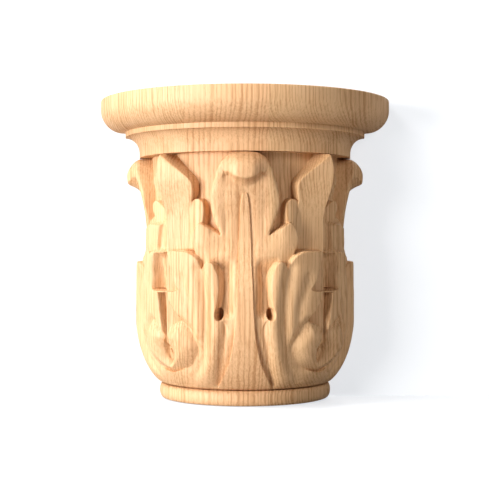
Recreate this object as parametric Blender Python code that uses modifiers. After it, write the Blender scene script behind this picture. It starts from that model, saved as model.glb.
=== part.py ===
"""Half-round Corinthian capital, carved from one block of oak.

The block is turned to a moulded half-round abacus, a bell and a bead, and sawn flat at the back.
Broad leaves with a rolled head stand at the front and at both ends of the back, and a pointed leaf
with a keel stands between each two. One eighth of a full turn, from the midrib of a broad leaf to
the keel of a pointed one, is turned and carved, and its mirror images make the rest.

Metres, +Z up, front to -Y. The origin is under the middle of the whole capital.
"""

import math

import bmesh
import bpy
import numpy as np

NAME = "capital"
COLLECTION = "corinthian_capital"
GUIDES = "guides"

# Heights, from the bead at the foot to the abacus at the top
BEAD_HEIGHT = 0.0075
CARVED_HEIGHT = 0.1163
COVE_HEIGHT = 0.0106
FILLET_HEIGHT = 0.0027
OVOLO_HEIGHT = 0.0108
RIM_HEIGHT = 0.0053

# Radii of the turned mouldings
ABACUS_RADIUS = 0.0750
FILLET_RADIUS = 0.0623
COVE_FOOT_RADIUS = 0.0550
BEAD_RADIUS = 0.0445
BEAD_INSET = 0.0018
EDGE_ROUND = 0.0008
QUIRK = 0.0010

# Radii of the carved part
BELL_RADIUS = 0.0486
BELL_LIP_RADIUS = 0.0504
NECK_RADIUS = 0.0430
BELLY_RADIUS = 0.0569
WAIST_RADIUS = 0.0509
HEAD_HOLLOW_RADIUS = 0.0539
HOOD_RADIUS = 0.0616
KEEL_RADIUS = 0.0543
KEEL_TOP_RADIUS = 0.0610

# Depths of the carving
WALL = 0.0006
EYE_DEPTH = 0.0075
PIT_DEPTH = 0.0055
HOLLOW_DEPTH = 0.0034
VALLEY_DEPTH = 0.0021
MIDRIB_RISE = 0.0012
WING_RISE = 0.0033
LOBE_RISE = 0.0038
FLANK_FALL = 0.0032
FLANK_TOP_FALL = 0.0020
EDGE_ROLL = 0.0012
TIP_FALL = 0.0025
LOBE_ROUND = 0.00002
HEAD_ROLL = 0.0022
HEAD_SIDE_RISE = 0.0010
HEAD_SIDE_SWELL = 0.0058
HEAD_SIDE_FALL = 0.0023
HOOD_TOP_FALL = 0.0062
HOOD_LIP_FALL = 0.0010
MOUTH_SLOPE = 0.0044
FINGER_FALL = 0.0014
FINGER_CROWN = 0.0022
FINGER_TOP_FALL = 0.0012
FINGER_SLOPE = 0.0024
GROOVE_DEPTH = 0.0005
GROOVE_WIDTH = 0.0024
OUTER_VALLEY_WIDTH = 0.0020
INNER_VALLEY_WIDTH = 0.0021
TROUGH_WIDTH = 0.0032
BALL_RISE = 0.0009
BALL_ROUND = 0.0014
BALL_REACH = 0.006
CREASE_DEPTH = 0.0015
CREASE_WIDTH = 0.0014

# Shares of the carved height where the carving changes
BELLY_HEIGHT = 0.30
BELLY_FULLNESS = 0.6
WAIST_FROM = 0.40
WAIST_RUN = 0.26
HEAD_FROM = 0.70
HEAD_RUN = 0.20
LIP_FROM = 0.6
KEEL_LEAN_FROM = 0.71
TIP_FROM = 0.93
FLANK_TOP_FROM = 0.72
FLANK_TOP_RUN = 0.14
WING_FROM = 0.47
WING_RUN = 0.09
HOOD_FROM = 0.92
HEAD_JOIN = 0.63
MOUTH_TOP = 0.90
FOOT_MERGE = 0.07

# Degrees from the midrib of the broad leaf
FLANK_REACH = 16.0
LOBE_MIDDLE = 25.0
WING_INNER = 9.0
WING_SPREAD = 15.0
HEAD_EDGE = 20.0
HOLLOW_INNER = 8.3
HOLLOW_SPREAD = 4.7
CREASE_END = 36.0
FINGER_HEIGHTS = (0.0, 0.11, 0.25, 0.54)
FINGER_MIDDLES = (24.0, 19.0, 14.8, 17.2)
FINGER_HALVES = (9.0, 6.4, 5.0, 4.4)

# The eighth that is carved, a little wider than it needs, and its mirror planes
SECTOR = 45.0
SPARE = 2.0
STEPS = 104
ROW_PITCH = 0.0006
FACES_KEPT = 2360

OAK_COLOUR = (0.68, 0.44, 0.25, 1.0)
OAK_ROUGHNESS = 0.55

NECK_Z = BEAD_HEIGHT
COVE_FOOT_Z = NECK_Z + CARVED_HEIGHT
FILLET_Z = COVE_FOOT_Z + COVE_HEIGHT
OVOLO_Z = FILLET_Z + FILLET_HEIGHT
RIM_Z = OVOLO_Z + OVOLO_HEIGHT
TOP_Z = RIM_Z + RIM_HEIGHT

# Outlines of the carving: degrees from the midrib of the broad leaf, and per cent of the carved
# height. Each line of points is one smooth run, and runs meet at corners. The half outlines close
# over the axis that mirror() gives them.
BROAD_LEAF = (
    [(0, 100), (5.1, 99.4), (8.7, 97.3), (11.8, 93.8), (15, 88.7), (17, 84), (17.5, 79.4),
     (17, 74.6), (15.7, 69.9), (13.7, 65.7)],
    [(13.7, 65.7), (17, 67.3), (20.3, 68.8), (24, 70.7)],
    [(24, 70.7), (25.9, 69.8), (28.1, 66.7), (28.9, 64), (28.4, 61), (27, 58)],
    [(27, 50), (27, -5), (0, -5)],
)
MOUTH = (
    [(0, 88.2), (2.5, 88.6), (5.3, 89.6), (7.7, 91.2), (9.2, 91.0), (10, 91.6)],
    [(10, 91.6), (11.6, 89), (13, 85.5), (13.9, 80.4), (13.8, 75.2), (13.2, 70), (13, 60)],
    [(13, 50), (0, 50)],
)
POINTED_LEAF = (
    [(45, 99.7), (43, 98.3), (39.2, 95.7), (34.6, 92.6), (30.1, 89.5), (28.1, 86.8),
     (28.4, 83.2), (29.5, 79.7)],
    [(27, 72), (25, 60), (24, 40), (24, -5), (45, -5)],
)
SIDE_LOBE = (
    [(31, 78.7), (29.4, 79.9), (27.6, 80.6), (25.3, 80.5), (23, 79.2), (22.2, 76.5),
     (22.5, 72.4), (23.4, 68.8)],
    [(24, 66), (30, 64), (34, 71), (33, 77)],
)
UPPER_LOBES = (
    [(22.4, 51.7), (24.3, 55.6), (28.9, 58.1), (34.6, 58.8), (42.6, 58.7)],
    [(42.6, 58.7), (41.2, 53.8), (39.7, 49.3), (38.2, 45.6), (35.4, 42.8)],
    [(35.6, 42.5), (38.4, 42.0), (42.3, 41.9), (50, 41.9)],
    [(50, 41.1), (42.9, 41.0), (41.5, 38.1), (38.8, 35), (36.3, 32.3), (34, 30.1)],
    [(33, 29.7), (27, 19), (25, 12)],
    [(22, 20), (20, 33), (20.6, 45)],
)
BALL_LOBE = (
    [(45, 7.4), (43.4, 7.5), (41.5, 7.8), (37.5, 8.7), (33, 9.9), (29.6, 11.8), (26.9, 14.7),
     (25.3, 18), (26.1, 21.6), (28.9, 25.4), (31.5, 27.9), (34.2, 29.3), (37.3, 29), (41.2, 27.4),
     (43.6, 25.1), (44.7, 22.4), (44.2, 20.5), (42.8, 18.5), (42.2, 16.2), (42.8, 13.7),
     (45, 11.6)],
)
PIT = ([(45, 19.9), (42.9, 18.1), (42.1, 15.7), (42.8, 13.3), (45, 11.4)],)
FINGER = (
    [(13.6, 51.8), (15, 53.6), (17.5, 54.1), (20.2, 53.1), (22, 51)],
    [(22, 51), (20.8, 45.7), (19.9, 39.5), (19.4, 32.5), (20.1, 23.6), (21.5, 16.8), (25, 10.7),
     (33, 3.9)],
    [(33, -4), (17, -4)],
    [(13.4, 10.1), (11, 17.9), (9.6, 26.3), (11.4, 31), (14.3, 33.5)],
    [(14.3, 33.5), (12.6, 38.8), (11.9, 43.6), (12.4, 48)],
)
HOLLOW = (
    [(15.3, 54.1), (12.1, 53.2), (9.8, 50.1), (8.5, 45.7), (8.7, 41.4), (9.7, 37), (10.4, 33.1),
     (10.9, 29.8), (12.9, 29), (14.8, 30), (15, 32.7)],
    [(17, 36.5), (17, 50.3)],
)
EYE = (
    [(12.2, 36.4), (10.9, 34.4), (10.8, 31.4), (11.6, 29.5), (13.3, 29.1), (14.8, 30.4),
     (14.9, 32.9), (14, 35.3)],
)
MIDRIB = (
    [(0, 82.6), (0.9, 82.4), (1.5, 81.2), (1.9, 78.7), (2.4, 75.1), (3.2, 63.3), (3.3, 54.6),
     (3.9, 39.2), (4.4, 30.5), (5.1, 23.9), (6.6, 17.2), (8.8, 11.2), (13.4, 4.8), (18.6, -0.4)],
    [(18.6, -5), (0, -5)],
)
OUTER_VALLEY = [(22.9, 51.6), (21.1, 45.7), (20, 39.5), (19.4, 32.5), (20.1, 23.6), (21.5, 16.9),
                (25, 10.7), (33, 4.7)]
INNER_VALLEY = [(6.5, 40.8), (7.4, 33.7), (8.4, 26.3), (10.4, 17.9), (13, 10.1), (17, 4.7)]
LOBE_GROOVE = [(33.5, 47.3), (31, 41.3), (28.4, 35.7), (27.6, 30.5), (27.5, 26.7)]


def ease(share):
    """Smooth step from 0 to 1."""
    share = np.clip(share, 0.0, 1.0)
    return share * share * (3.0 - 2.0 * share)


def smooth_run(points, steps=5):
    """A Catmull-Rom curve through the points of one run."""
    knots = np.array([points[0], *points, points[-1]], dtype=float)
    if len(points) < 3:
        return knots[1:-1]
    share = np.linspace(0.0, 1.0, steps, endpoint=False)[:, None]
    spans = []
    for before, start, end, after in zip(knots[:-3], knots[1:-2], knots[2:-1], knots[3:]):
        spans.append(0.5 * (2.0 * start + (end - before) * share
                            + (2.0 * before - 5.0 * start + 4.0 * end - after) * share ** 2
                            + (3.0 * start - 3.0 * end + after - before) * share ** 3))
    return np.vstack([*spans, knots[-1:]])


def flatten(angle, height):
    """Degrees and shares of the carved height as metres along the belly and upwards."""
    return np.radians(angle) * BELLY_RADIUS, height * CARVED_HEIGHT


def drawn(runs):
    """An outline's runs as one row of points in metres along the belly and upwards."""
    points = np.vstack([smooth_run(run) for run in runs])
    return np.column_stack(flatten(points[:, 0], points[:, 1] / 100.0))


def mirror(points, angle):
    """A half outline made whole about a line at the angle."""
    other = points[::-1].copy()
    other[:, 0] = 2.0 * math.radians(angle) * BELLY_RADIUS - other[:, 0]
    return np.vstack([points, other])


def distance(points, across, up):
    """Distance to a row of points joined by straight lines."""
    nearest = np.full(across.shape, np.inf)
    for start, end in zip(points[:-1], points[1:]):
        run, rise = end - start
        length = run * run + rise * rise
        if length == 0.0:
            continue
        share = ((across - start[0]) * run + (up - start[1]) * rise) / length
        share = np.clip(share, 0.0, 1.0)
        gap = np.hypot(across - start[0] - share * run, up - start[1] - share * rise)
        nearest = np.minimum(nearest, gap)
    return nearest


def inset(outline, across, up):
    """Distance inside a closed outline, below zero outside it."""
    closed = np.vstack([outline, outline[:1]])
    inside = np.zeros(across.shape, dtype=bool)
    for start, end in zip(closed[:-1], closed[1:]):
        if start[1] == end[1]:
            continue
        crossing = start[0] + (up - start[1]) * (end[0] - start[0]) / (end[1] - start[1])
        inside ^= ((start[1] > up) != (end[1] > up)) & (across < crossing)
    gap = distance(closed, across, up)
    return np.where(inside, gap, -gap)


def rolled(depth_inside, radius):
    """How far a rounded edge drops, at a distance inside it."""
    share = 1.0 - np.clip(depth_inside / radius, 0.0, 1.0)
    return radius * (1.0 - np.sqrt(1.0 - share * share))


def lay(ground, top, depth_inside, wall=WALL):
    """Lay a form over the ground, where the distance inside its outline is above zero."""
    return ground + (top - ground) * ease(depth_inside / wall + 0.5)


def trough(gap, width):
    """A smooth trough, 1 at its line and fading over its width."""
    return np.exp(-(gap / width) ** 2)


def bowl(height):
    """The leaves' foot, swelling from the neck to the belly."""
    rise = np.clip(height / BELLY_HEIGHT, 0.0, 1.0)
    swell = (1.0 - (1.0 - rise) ** 2) ** BELLY_FULLNESS
    return NECK_RADIUS + (BELLY_RADIUS - NECK_RADIUS) * swell


def leaf_front(height):
    """Front of the broad leaf along its midrib: belly, waist and the hollow of its head."""
    fall = (BELLY_RADIUS - WAIST_RADIUS) * ease((height - WAIST_FROM) / WAIST_RUN)
    lean = (HEAD_HOLLOW_RADIUS - WAIST_RADIUS) * ease((height - HEAD_FROM) / HEAD_RUN)
    return bowl(height) - fall + lean


def bell(height):
    """The plain bell behind the leaves."""
    spread = ease((height - LIP_FROM) / (1.0 - LIP_FROM))
    return np.minimum(BELL_RADIUS + (BELL_LIP_RADIUS - BELL_RADIUS) * spread, bowl(height))


def pointed_leaf(ground, angle, height, across, up):
    """The leaf with a keel and two sloping flanks, and the small lobe at its side."""
    tip = np.clip((height - TIP_FROM) / (1.0 - TIP_FROM), 0.0, 1.0) ** 2
    lean = (KEEL_TOP_RADIUS - KEEL_RADIUS) * ease((height - KEEL_LEAN_FROM) / HEAD_RUN)
    keel = KEEL_RADIUS + lean - TIP_FALL * tip
    keel = np.where(height < BELLY_HEIGHT, np.minimum(keel, bowl(height)), keel)
    flat = np.clip(1.0 - (SECTOR - angle) / FLANK_REACH, 0.0, None) ** 1.6
    fall = FLANK_FALL + FLANK_TOP_FALL * ease((height - FLANK_TOP_FROM) / FLANK_TOP_RUN)
    depth_inside = inset(mirror(drawn(POINTED_LEAF), SECTOR), across, up)
    leaf = keel - fall * (1.0 - flat) - rolled(depth_inside, EDGE_ROLL)
    ground = lay(ground, leaf, depth_inside)
    depth_inside = inset(drawn(SIDE_LOBE), across, up)
    lobe = BELL_RADIUS + LOBE_RISE - LOBE_ROUND * (angle - LOBE_MIDDLE) ** 2
    lobe = lobe - rolled(depth_inside, EDGE_ROLL)
    return np.maximum(ground, lay(ground, lobe, depth_inside))


def broad_leaf(ground, angle, height, across, up):
    """The broad leaf: its body and wing, and the head with a hood rolled over its mouth."""
    depth_inside = inset(mirror(drawn(BROAD_LEAF), 0.0), across, up)
    front = leaf_front(height)
    wing = ease((angle - WING_INNER) / WING_SPREAD) * ease((height - WING_FROM) / WING_RUN)
    body = front + WING_RISE * wing
    above = (HOOD_RADIUS
             - HOOD_TOP_FALL * np.clip((height - HOOD_FROM) / (1.0 - HOOD_FROM), 0.0, None) ** 2
             - HOOD_LIP_FALL * np.clip((HOOD_FROM - height) / 0.05, 0.0, None) ** 2)
    swell = np.clip((height - 0.66) / 0.27, 0.0, 1.0) ** 1.5
    over = np.clip((height - TIP_FROM) / (1.0 - TIP_FROM), 0.0, None) ** 2
    beside = WAIST_RADIUS + HEAD_SIDE_RISE + HEAD_SIDE_SWELL * swell - HEAD_SIDE_FALL * over
    aside = ease((angle - 2.5) / 9.5)
    head = above * (1.0 - aside) + beside * aside - rolled(depth_inside, HEAD_ROLL)
    mouth = inset(mirror(drawn(MOUTH), 0.0), across, up)
    slope = WALL + MOUTH_SLOPE * ease((MOUTH_TOP - height) / 0.05)
    head = lay(head, front, mouth - 0.3 * slope, slope)
    leaf = body - rolled(depth_inside, EDGE_ROLL)
    joined = ease((height - HEAD_JOIN) / 0.05) * ease((HEAD_EDGE - angle) / 4.0)
    leaf = leaf + (head - leaf) * joined
    return lay(ground, leaf, depth_inside)


def lobes(ground, angle, height, across, up):
    """The two upper lobes, the finger with the hollow and the eye beside it, and the ball lobe."""
    front = leaf_front(height)
    belly = np.minimum(BELLY_RADIUS, bowl(height))
    depth_inside = inset(drawn(UPPER_LOBES), across, up)
    groove = trough(distance(drawn([LOBE_GROOVE]), across, up), GROOVE_WIDTH)
    top = belly - GROOVE_DEPTH * groove - rolled(depth_inside, EDGE_ROLL)
    ground = lay(ground, top, depth_inside)
    slant = np.clip((angle - HOLLOW_INNER) / HOLLOW_SPREAD, 0.0, 1.0)
    depth_inside = inset(drawn(HOLLOW), across, up)
    ground = lay(ground, front - HOLLOW_DEPTH * slant, depth_inside)
    depth_inside = inset(drawn(FINGER), across, up)
    middle = np.interp(height, FINGER_HEIGHTS, FINGER_MIDDLES)
    half = np.interp(height, FINGER_HEIGHTS, FINGER_HALVES)
    crown = 1.0 - np.clip((angle - middle) / half, -1.0, 1.0) ** 2
    roll = rolled(depth_inside, EDGE_ROLL) * ease((height - 0.3) / 0.1)
    finger = belly - FINGER_FALL + FINGER_CROWN * crown - roll
    finger = np.where(height > 0.45, np.maximum(finger, BELLY_RADIUS - FINGER_TOP_FALL), finger)
    ground = lay(ground, finger, depth_inside, WALL + FINGER_SLOPE * ease((0.31 - height) / 0.07))
    ground = lay(ground, belly - EYE_DEPTH, inset(drawn(EYE), across, up))
    runs_out = ease((height - 0.03) / 0.12)
    valley = trough(distance(drawn([OUTER_VALLEY]), across, up), OUTER_VALLEY_WIDTH)
    ground = ground - VALLEY_DEPTH * runs_out * valley
    valley = trough(distance(drawn([INNER_VALLEY]), across, up), INNER_VALLEY_WIDTH)
    ground = ground - 0.8 * VALLEY_DEPTH * runs_out * ease((0.42 - height) / 0.2) * valley
    depth_inside = inset(mirror(drawn(BALL_LOBE), SECTOR), across, up)
    crease = trough(depth_inside, CREASE_WIDTH) * (angle < CREASE_END) * runs_out
    ball = belly + BALL_RISE
    ball = ball - BALL_ROUND * np.clip(1.0 - depth_inside / BALL_REACH, 0.0, 1.0) ** 2
    ball = ball - rolled(depth_inside, EDGE_ROLL)
    ground = lay(ground - CREASE_DEPTH * crease, ball, depth_inside)
    pit = inset(mirror(drawn(PIT), SECTOR), across, up)
    return lay(ground, belly - PIT_DEPTH, pit, 2.0 * WALL)


def midrib(ground, height, across, up):
    """The raised midrib, spreading towards the neck, with a soft trough along its side."""
    depth_inside = inset(mirror(drawn(MIDRIB), 0.0), across, up)
    runs_out = ease((height - 0.01) / 0.10)
    beside = trough(np.minimum(depth_inside, 0.0), TROUGH_WIDTH) * (depth_inside < 0.0)
    ground = ground - MIDRIB_RISE * runs_out * beside * ease((0.86 - height) / 0.06)
    return lay(ground, leaf_front(height), depth_inside)


def carved_radius(angle, height):
    """Radius of the carving at an angle from the broad leaf's midrib and a share of its height."""
    across, up = flatten(angle, height)
    radius = pointed_leaf(bell(height), angle, height, across, up)
    radius = broad_leaf(radius, angle, height, across, up)
    radius = lobes(radius, angle, height, across, up)
    radius = midrib(radius, height, across, up)
    merged = ease((FOOT_MERGE - height) / 0.06)
    return radius * (1.0 - merged) + bowl(height) * merged


def arc(middle, radii, start, end, steps):
    """Points on a part of an ellipse in the turning plane, angles in degrees."""
    turns = np.radians(np.linspace(start, end, steps + 1))
    return [(middle[0] + radii[0] * math.cos(turn), middle[1] + radii[1] * math.sin(turn))
            for turn in turns]


def turned_profile():
    """The blank's profile from the middle of the top down its outer side to the middle below."""
    points = [(0.0, TOP_Z)]
    points += arc((ABACUS_RADIUS - EDGE_ROUND, TOP_Z - EDGE_ROUND), (EDGE_ROUND, EDGE_ROUND), 90, 0, 2)
    quirk_radius = FILLET_RADIUS + QUIRK
    points += arc((quirk_radius, RIM_Z), (ABACUS_RADIUS - quirk_radius, OVOLO_HEIGHT), 0, -90, 10)
    points += [(FILLET_RADIUS, OVOLO_Z), (FILLET_RADIUS, FILLET_Z)]
    cove_depth = FILLET_RADIUS - COVE_FOOT_RADIUS
    points += arc((FILLET_RADIUS, COVE_FOOT_Z + 0.2 * COVE_HEIGHT),
                  (cove_depth, 0.8 * COVE_HEIGHT), 95, 180, 7)
    points += [(COVE_FOOT_RADIUS, COVE_FOOT_Z)]
    rows = math.ceil(CARVED_HEIGHT / ROW_PITCH)
    for row in range(rows + 1):
        points.append((BELL_RADIUS, COVE_FOOT_Z - CARVED_HEIGHT * row / rows))
    bead_edge = BEAD_RADIUS - BEAD_INSET
    points += arc((bead_edge, NECK_Z / 2.0), (BEAD_INSET, NECK_Z / 2.0), 90, -90, 8)
    points.append((0.0, 0.0))
    return points, rows


def turned_blank():
    """An eighth of the turned blank, with some to spare on both sides, as an open sheet."""
    points, rows = turned_profile()
    mesh = bpy.data.meshes.new("profile")
    mesh.from_pydata([(x, 0.0, z) for x, z in points],
                     [(i, i + 1) for i in range(len(points) - 1)], [])
    blank = bpy.data.objects.new("blank", mesh)
    bpy.context.scene.collection.objects.link(blank)
    screw = blank.modifiers.new("turn", "SCREW")
    screw.angle = math.radians(SECTOR + 2.0 * SPARE)
    screw.steps = STEPS
    screw.render_steps = STEPS
    screw.use_merge_vertices = True
    screw.merge_threshold = 0.00001
    graph = bpy.context.evaluated_depsgraph_get()
    sheet = bpy.data.meshes.new_from_object(blank.evaluated_get(graph))
    bpy.data.objects.remove(blank)
    return sheet


def carve(sheet):
    """Turn the sheet to the front and move its bell out to the carving."""
    vertices = np.empty(len(sheet.vertices) * 3)
    sheet.vertices.foreach_get("co", vertices)
    vertices = vertices.reshape(-1, 3)
    radius = np.hypot(vertices[:, 0], vertices[:, 1])
    turn = np.arctan2(vertices[:, 1], vertices[:, 0]) - math.radians(SPARE)
    on_bell = np.abs(radius - BELL_RADIUS) < 0.00001
    angle = np.abs(np.degrees(turn))
    angle = np.where(angle > SECTOR, 2.0 * SECTOR - angle, angle)
    height = (vertices[:, 2] - NECK_Z) / CARVED_HEIGHT
    radius[on_bell] = carved_radius(angle[on_bell], height[on_bell])
    vertices[:, 0] = radius * np.sin(turn)
    vertices[:, 1] = -radius * np.cos(turn)
    sheet.vertices.foreach_set("co", vertices.ravel())
    sheet.update()


def mirror_plane(name, turn, guides):
    """A hidden guide whose local YZ plane is a mirror plane."""
    guide = bpy.data.objects.new(name, None)
    guide.rotation_euler.z = math.radians(turn)
    guide.hide_render = True
    guides.objects.link(guide)
    return guide


def add_mirror(piece, guide):
    """Cut the piece at the guide's plane and mirror what stands on the positive side."""
    modifier = piece.modifiers.new(guide.name, "MIRROR")
    modifier.mirror_object = guide
    modifier.use_axis = (True, False, False)
    modifier.use_bisect_axis = (True, False, False)
    modifier.use_clip = True
    modifier.merge_threshold = 0.00002
    modifier.bisect_threshold = 0.00001


def saw_flat(mesh):
    """Saw the mesh off at the wall plane and close it there with one flat face."""
    edit = bmesh.new()
    edit.from_mesh(mesh)
    everything = edit.verts[:] + edit.edges[:] + edit.faces[:]
    bmesh.ops.bisect_plane(edit, geom=everything, dist=0.00002, plane_co=(0.0, 0.0, 0.0),
                           plane_no=(0.0, 1.0, 0.0), clear_outer=True)
    rim = [edge for edge in edit.edges if edge.is_boundary]
    bmesh.ops.holes_fill(edit, edges=rim, sides=0)
    bmesh.ops.recalc_face_normals(edit, faces=edit.faces)
    edit.to_mesh(mesh)
    edit.free()


def oak():
    """Light oak, sanded and left without varnish."""
    material = bpy.data.materials.new("oak")
    material.use_nodes = True
    shader = material.node_tree.nodes["Principled BSDF"]
    shader.inputs["Base Color"].default_value = OAK_COLOUR
    shader.inputs["Roughness"].default_value = OAK_ROUGHNESS
    shader.inputs["Metallic"].default_value = 0.0
    return material


def capital(parts, guides):
    """The whole capital from its carved eighth."""
    sheet = turned_blank()
    carve(sheet)
    eighth = bpy.data.objects.new("eighth", sheet)
    guides.objects.link(eighth)
    thin = eighth.modifiers.new("thin", "DECIMATE")
    sheet.calc_loop_triangles()
    thin.ratio = FACES_KEPT / len(sheet.loop_triangles)
    add_mirror(eighth, mirror_plane("keel_plane", 180.0 + SECTOR, guides))
    add_mirror(eighth, mirror_plane("middle_plane", 0.0, guides))
    graph = bpy.context.evaluated_depsgraph_get()
    mesh = bpy.data.meshes.new_from_object(eighth.evaluated_get(graph))
    bpy.data.objects.remove(eighth)
    saw_flat(mesh)
    mesh.shade_smooth()
    mesh.set_sharp_from_angle(angle=math.radians(35.0))
    mesh.materials.clear()
    mesh.materials.append(oak())
    piece = bpy.data.objects.new(NAME, mesh)
    piece.location.y = ABACUS_RADIUS / 2.0
    parts.objects.link(piece)
    return piece


def main():
    for thing in list(bpy.data.objects):
        bpy.data.objects.remove(thing)
    parts = bpy.data.collections.new(COLLECTION)
    guides = bpy.data.collections.new(GUIDES)
    bpy.context.scene.collection.children.link(parts)
    bpy.context.scene.collection.children.link(guides)
    capital(parts, guides)


main()
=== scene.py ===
"""Carves, finishes and lights a half-round Corinthian capital in oak.

The capital is one block: a turned abacus above, a turned bead below, and a bell between them that
is carved with leaves. A quarter of a full turn, from the midrib of the front leaf over the keel of
a pointed one to the midrib of the leaf at the side, is turned and carved, and mirrored to the
other side.
"""

import math

import bmesh
import bpy
import numpy as np
from bpy.props import FloatProperty, FloatVectorProperty, IntProperty, PointerProperty
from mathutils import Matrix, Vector


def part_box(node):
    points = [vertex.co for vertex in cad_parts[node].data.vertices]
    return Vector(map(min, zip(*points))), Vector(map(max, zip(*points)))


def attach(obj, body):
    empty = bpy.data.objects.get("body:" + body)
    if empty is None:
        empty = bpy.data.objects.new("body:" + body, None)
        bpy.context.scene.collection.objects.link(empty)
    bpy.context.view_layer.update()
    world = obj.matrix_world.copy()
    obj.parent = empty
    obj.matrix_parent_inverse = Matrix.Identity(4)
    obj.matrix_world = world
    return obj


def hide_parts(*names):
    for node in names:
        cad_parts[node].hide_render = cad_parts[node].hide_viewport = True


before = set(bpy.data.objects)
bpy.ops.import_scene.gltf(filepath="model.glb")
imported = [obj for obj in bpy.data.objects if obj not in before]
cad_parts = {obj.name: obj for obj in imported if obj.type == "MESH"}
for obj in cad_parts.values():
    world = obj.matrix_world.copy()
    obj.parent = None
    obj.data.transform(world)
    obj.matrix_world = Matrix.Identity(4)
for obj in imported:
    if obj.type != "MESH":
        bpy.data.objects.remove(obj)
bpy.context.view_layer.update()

bl_info = {
    "name": "Carved oak capital",
    "version": (1, 0, 0),
    "blender": (4, 5, 0),
    "location": "View3D > Sidebar > Capital",
    "description": "Turns, carves and lights a half-round capital in oak",
    "category": "Add Mesh",
}

NODE = "capital"
BODY = "root"
LOWEST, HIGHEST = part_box(NODE)
AXIS_Y = HIGHEST.y

# The quarter that is carved and the keel in its middle, in degrees, and the grid it is carved on
SECTOR = 90.0
KEEL = 45.0
MOULDING_STEPS = 96
FINE_STEPS = 5
ROW_PITCH = 0.00024
SHARP_ANGLE = 38.0
MERGE = 0.000004
BORDER_WIDTH = 0.0001
WANDER_SCALE = 70.0

# The boards that the block is glued from: the joints between them, and for each the place of its
# log's heart across and behind, the spacing of its rings, and its tone
STAVE_JOINTS = (-0.0660, -0.0298, 0.0107, 0.0512)
STAVE_LOGS = (
    (0.240, 0.010, 0.0016),
    (-0.270, 0.030, 0.0013),
    (0.290, 0.000, 0.0024),
    (-0.270, 0.075, 0.0014),
    (-0.250, 0.060, 0.0017),
)
STAVE_TONES = (
    (0.97, 0.97, 0.97),
    (1.0, 1.0, 1.0),
    (1.0, 0.97, 0.96),
    (0.97, 0.97, 0.95),
    (0.96, 0.95, 0.93),
)
HEART_REACH = 0.3
RING_MOST = 0.004
RING_SWAY = 0.0042
RING_WAVER = 0.0012

# Patches of the grain, wide and tall, and how the years drift in width and turn from early wood to
# late wood and back. Noise swings about its middle, and mostly inside its span.
NOISE_MIDDLE = (0.5, 0.5, 0.5)
NOISE_SPAN = (0.3, 0.7)
CLOUD_SPAN = (0.35, 0.65)
SWAY_PATCH = (0.030, 0.090)
WAVER_PATCH = (0.004, 0.012)
CLOUD_PATCH = (0.016, 0.070)
FIBRE_LENGTH = 0.022
PORE_WIDTH = 0.00028
YEAR_DRIFT, YEAR_DRIFT_RATE = 1.5, 0.45
EARLY_ENDS, EARLY_STARTS = 0.48, 0.84

# Where pores open in late and in early wood, how much the grain darkens the wood, and its height
PORE_OPENS = (0.64, 0.56)
PORE_EDGE = 0.12
PORE_TINT = 0.35
RING_TINT = (0.20, 0.85)
FIBRE_TINT = (-0.25, 0.50)
CLOUD_TINT = (-0.10, 0.16)
FIBRE_HEIGHT = 0.35
GLOSS = 0.35
ROUGHNESS_SPAN = (-0.05, 0.10)
CARVED_BUMP = {"Strength": 0.35, "Distance": 0.00012}
SAWN_BUMP = {"Strength": 0.5, "Distance": 0.00015}
SAW_PITCH = 0.0013
SAW_WAVER, SAW_WAVER_SCALE = 5.0, 90.0
SAW_TINT, SAW_HEIGHT = 0.10, 1.2

# The camera, solved from the photograph's perspective, and the lamps: degrees round from the front
# and above the level
IMAGE_WIDTH = 490
FOCAL_PIXELS = 1163.0
SENSOR_WIDTH = 36.0
CAMERA_DISTANCE = 0.5725
CAMERA_HEIGHT = 0.0787
LAMP_DISTANCE = 1.2
LAMPS = {"key": (-50.0, 3.0), "upper": (-65.0, 50.0), "fill": (40.0, 25.0), "back": (165.0, 30.0)}
LAMP_SIZE = 0.5
STAGE_WIDTH = 4.0
STAGE_GAP = 0.0004
GLOW_COLOUR = (0.93, 0.96, 1.0, 1.0)
WHITE = (1.0, 1.0, 1.0, 1.0)

# Marks of the points: on the mouldings, on the border of the carved sheet, inside it
TURNED, BORDER, INSIDE = 0.0, 1.0, 2.0

# Outlines of the carving: degrees from the midrib of the broad leaf, and per cent of the carved
# height. Each line of points is one smooth run, and runs meet at corners. The half outlines close
# over the axis that mirrored() gives them.
HEAD = [(0, 100), (6.2, 99.5), (10.4, 97.3), (13.1, 93.8), (15.6, 88.7), (17.5, 84), (18.3, 79.4),
        (17.9, 74.6), (16.2, 69.9), (13.8, 65.7)]
BROAD_LEAF = (
    HEAD,
    [(13.8, 65.7), (17, 67.3), (20.3, 68.8), (24, 70.7)],
    [(24, 70.7), (25.9, 69.8), (28.1, 66.7), (28.9, 64), (28.4, 61), (27, 58)],
    [(27, 50), (27, -5), (0, -5)],
)
SIDE_LEAF = (
    HEAD,
    [(13.8, 65.7), (17, 67.3), (20.3, 68.8), (25, 70.2), (31, 70.6), (38.6, 70.1)],
    [(38.6, 70.1), (37.9, 66), (37.3, 62), (36.8, 57)],
    [(30, 50), (30, -5), (0, -5)],
)
MOUTH = (
    [(0, 88.2), (2.5, 88.6), (5.3, 89.6), (7.7, 91.2), (9.2, 91.0), (10, 91.6)],
    [(10, 91.6), (11.6, 89), (13, 85.5), (13.9, 80.4), (13.8, 75.2), (13.2, 70), (13, 60)],
    [(13, 50), (0, 50)],
)
POINTED_LEAF = (
    [(45, 99.7), (43, 98.3), (39.2, 95.7), (34.6, 92.6), (30.1, 89.5), (28.1, 86.8),
     (28.4, 83.2), (29.5, 79.7)],
    [(27, 72), (25, 60), (24, 40), (24, -5), (45, -5)],
)
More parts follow.
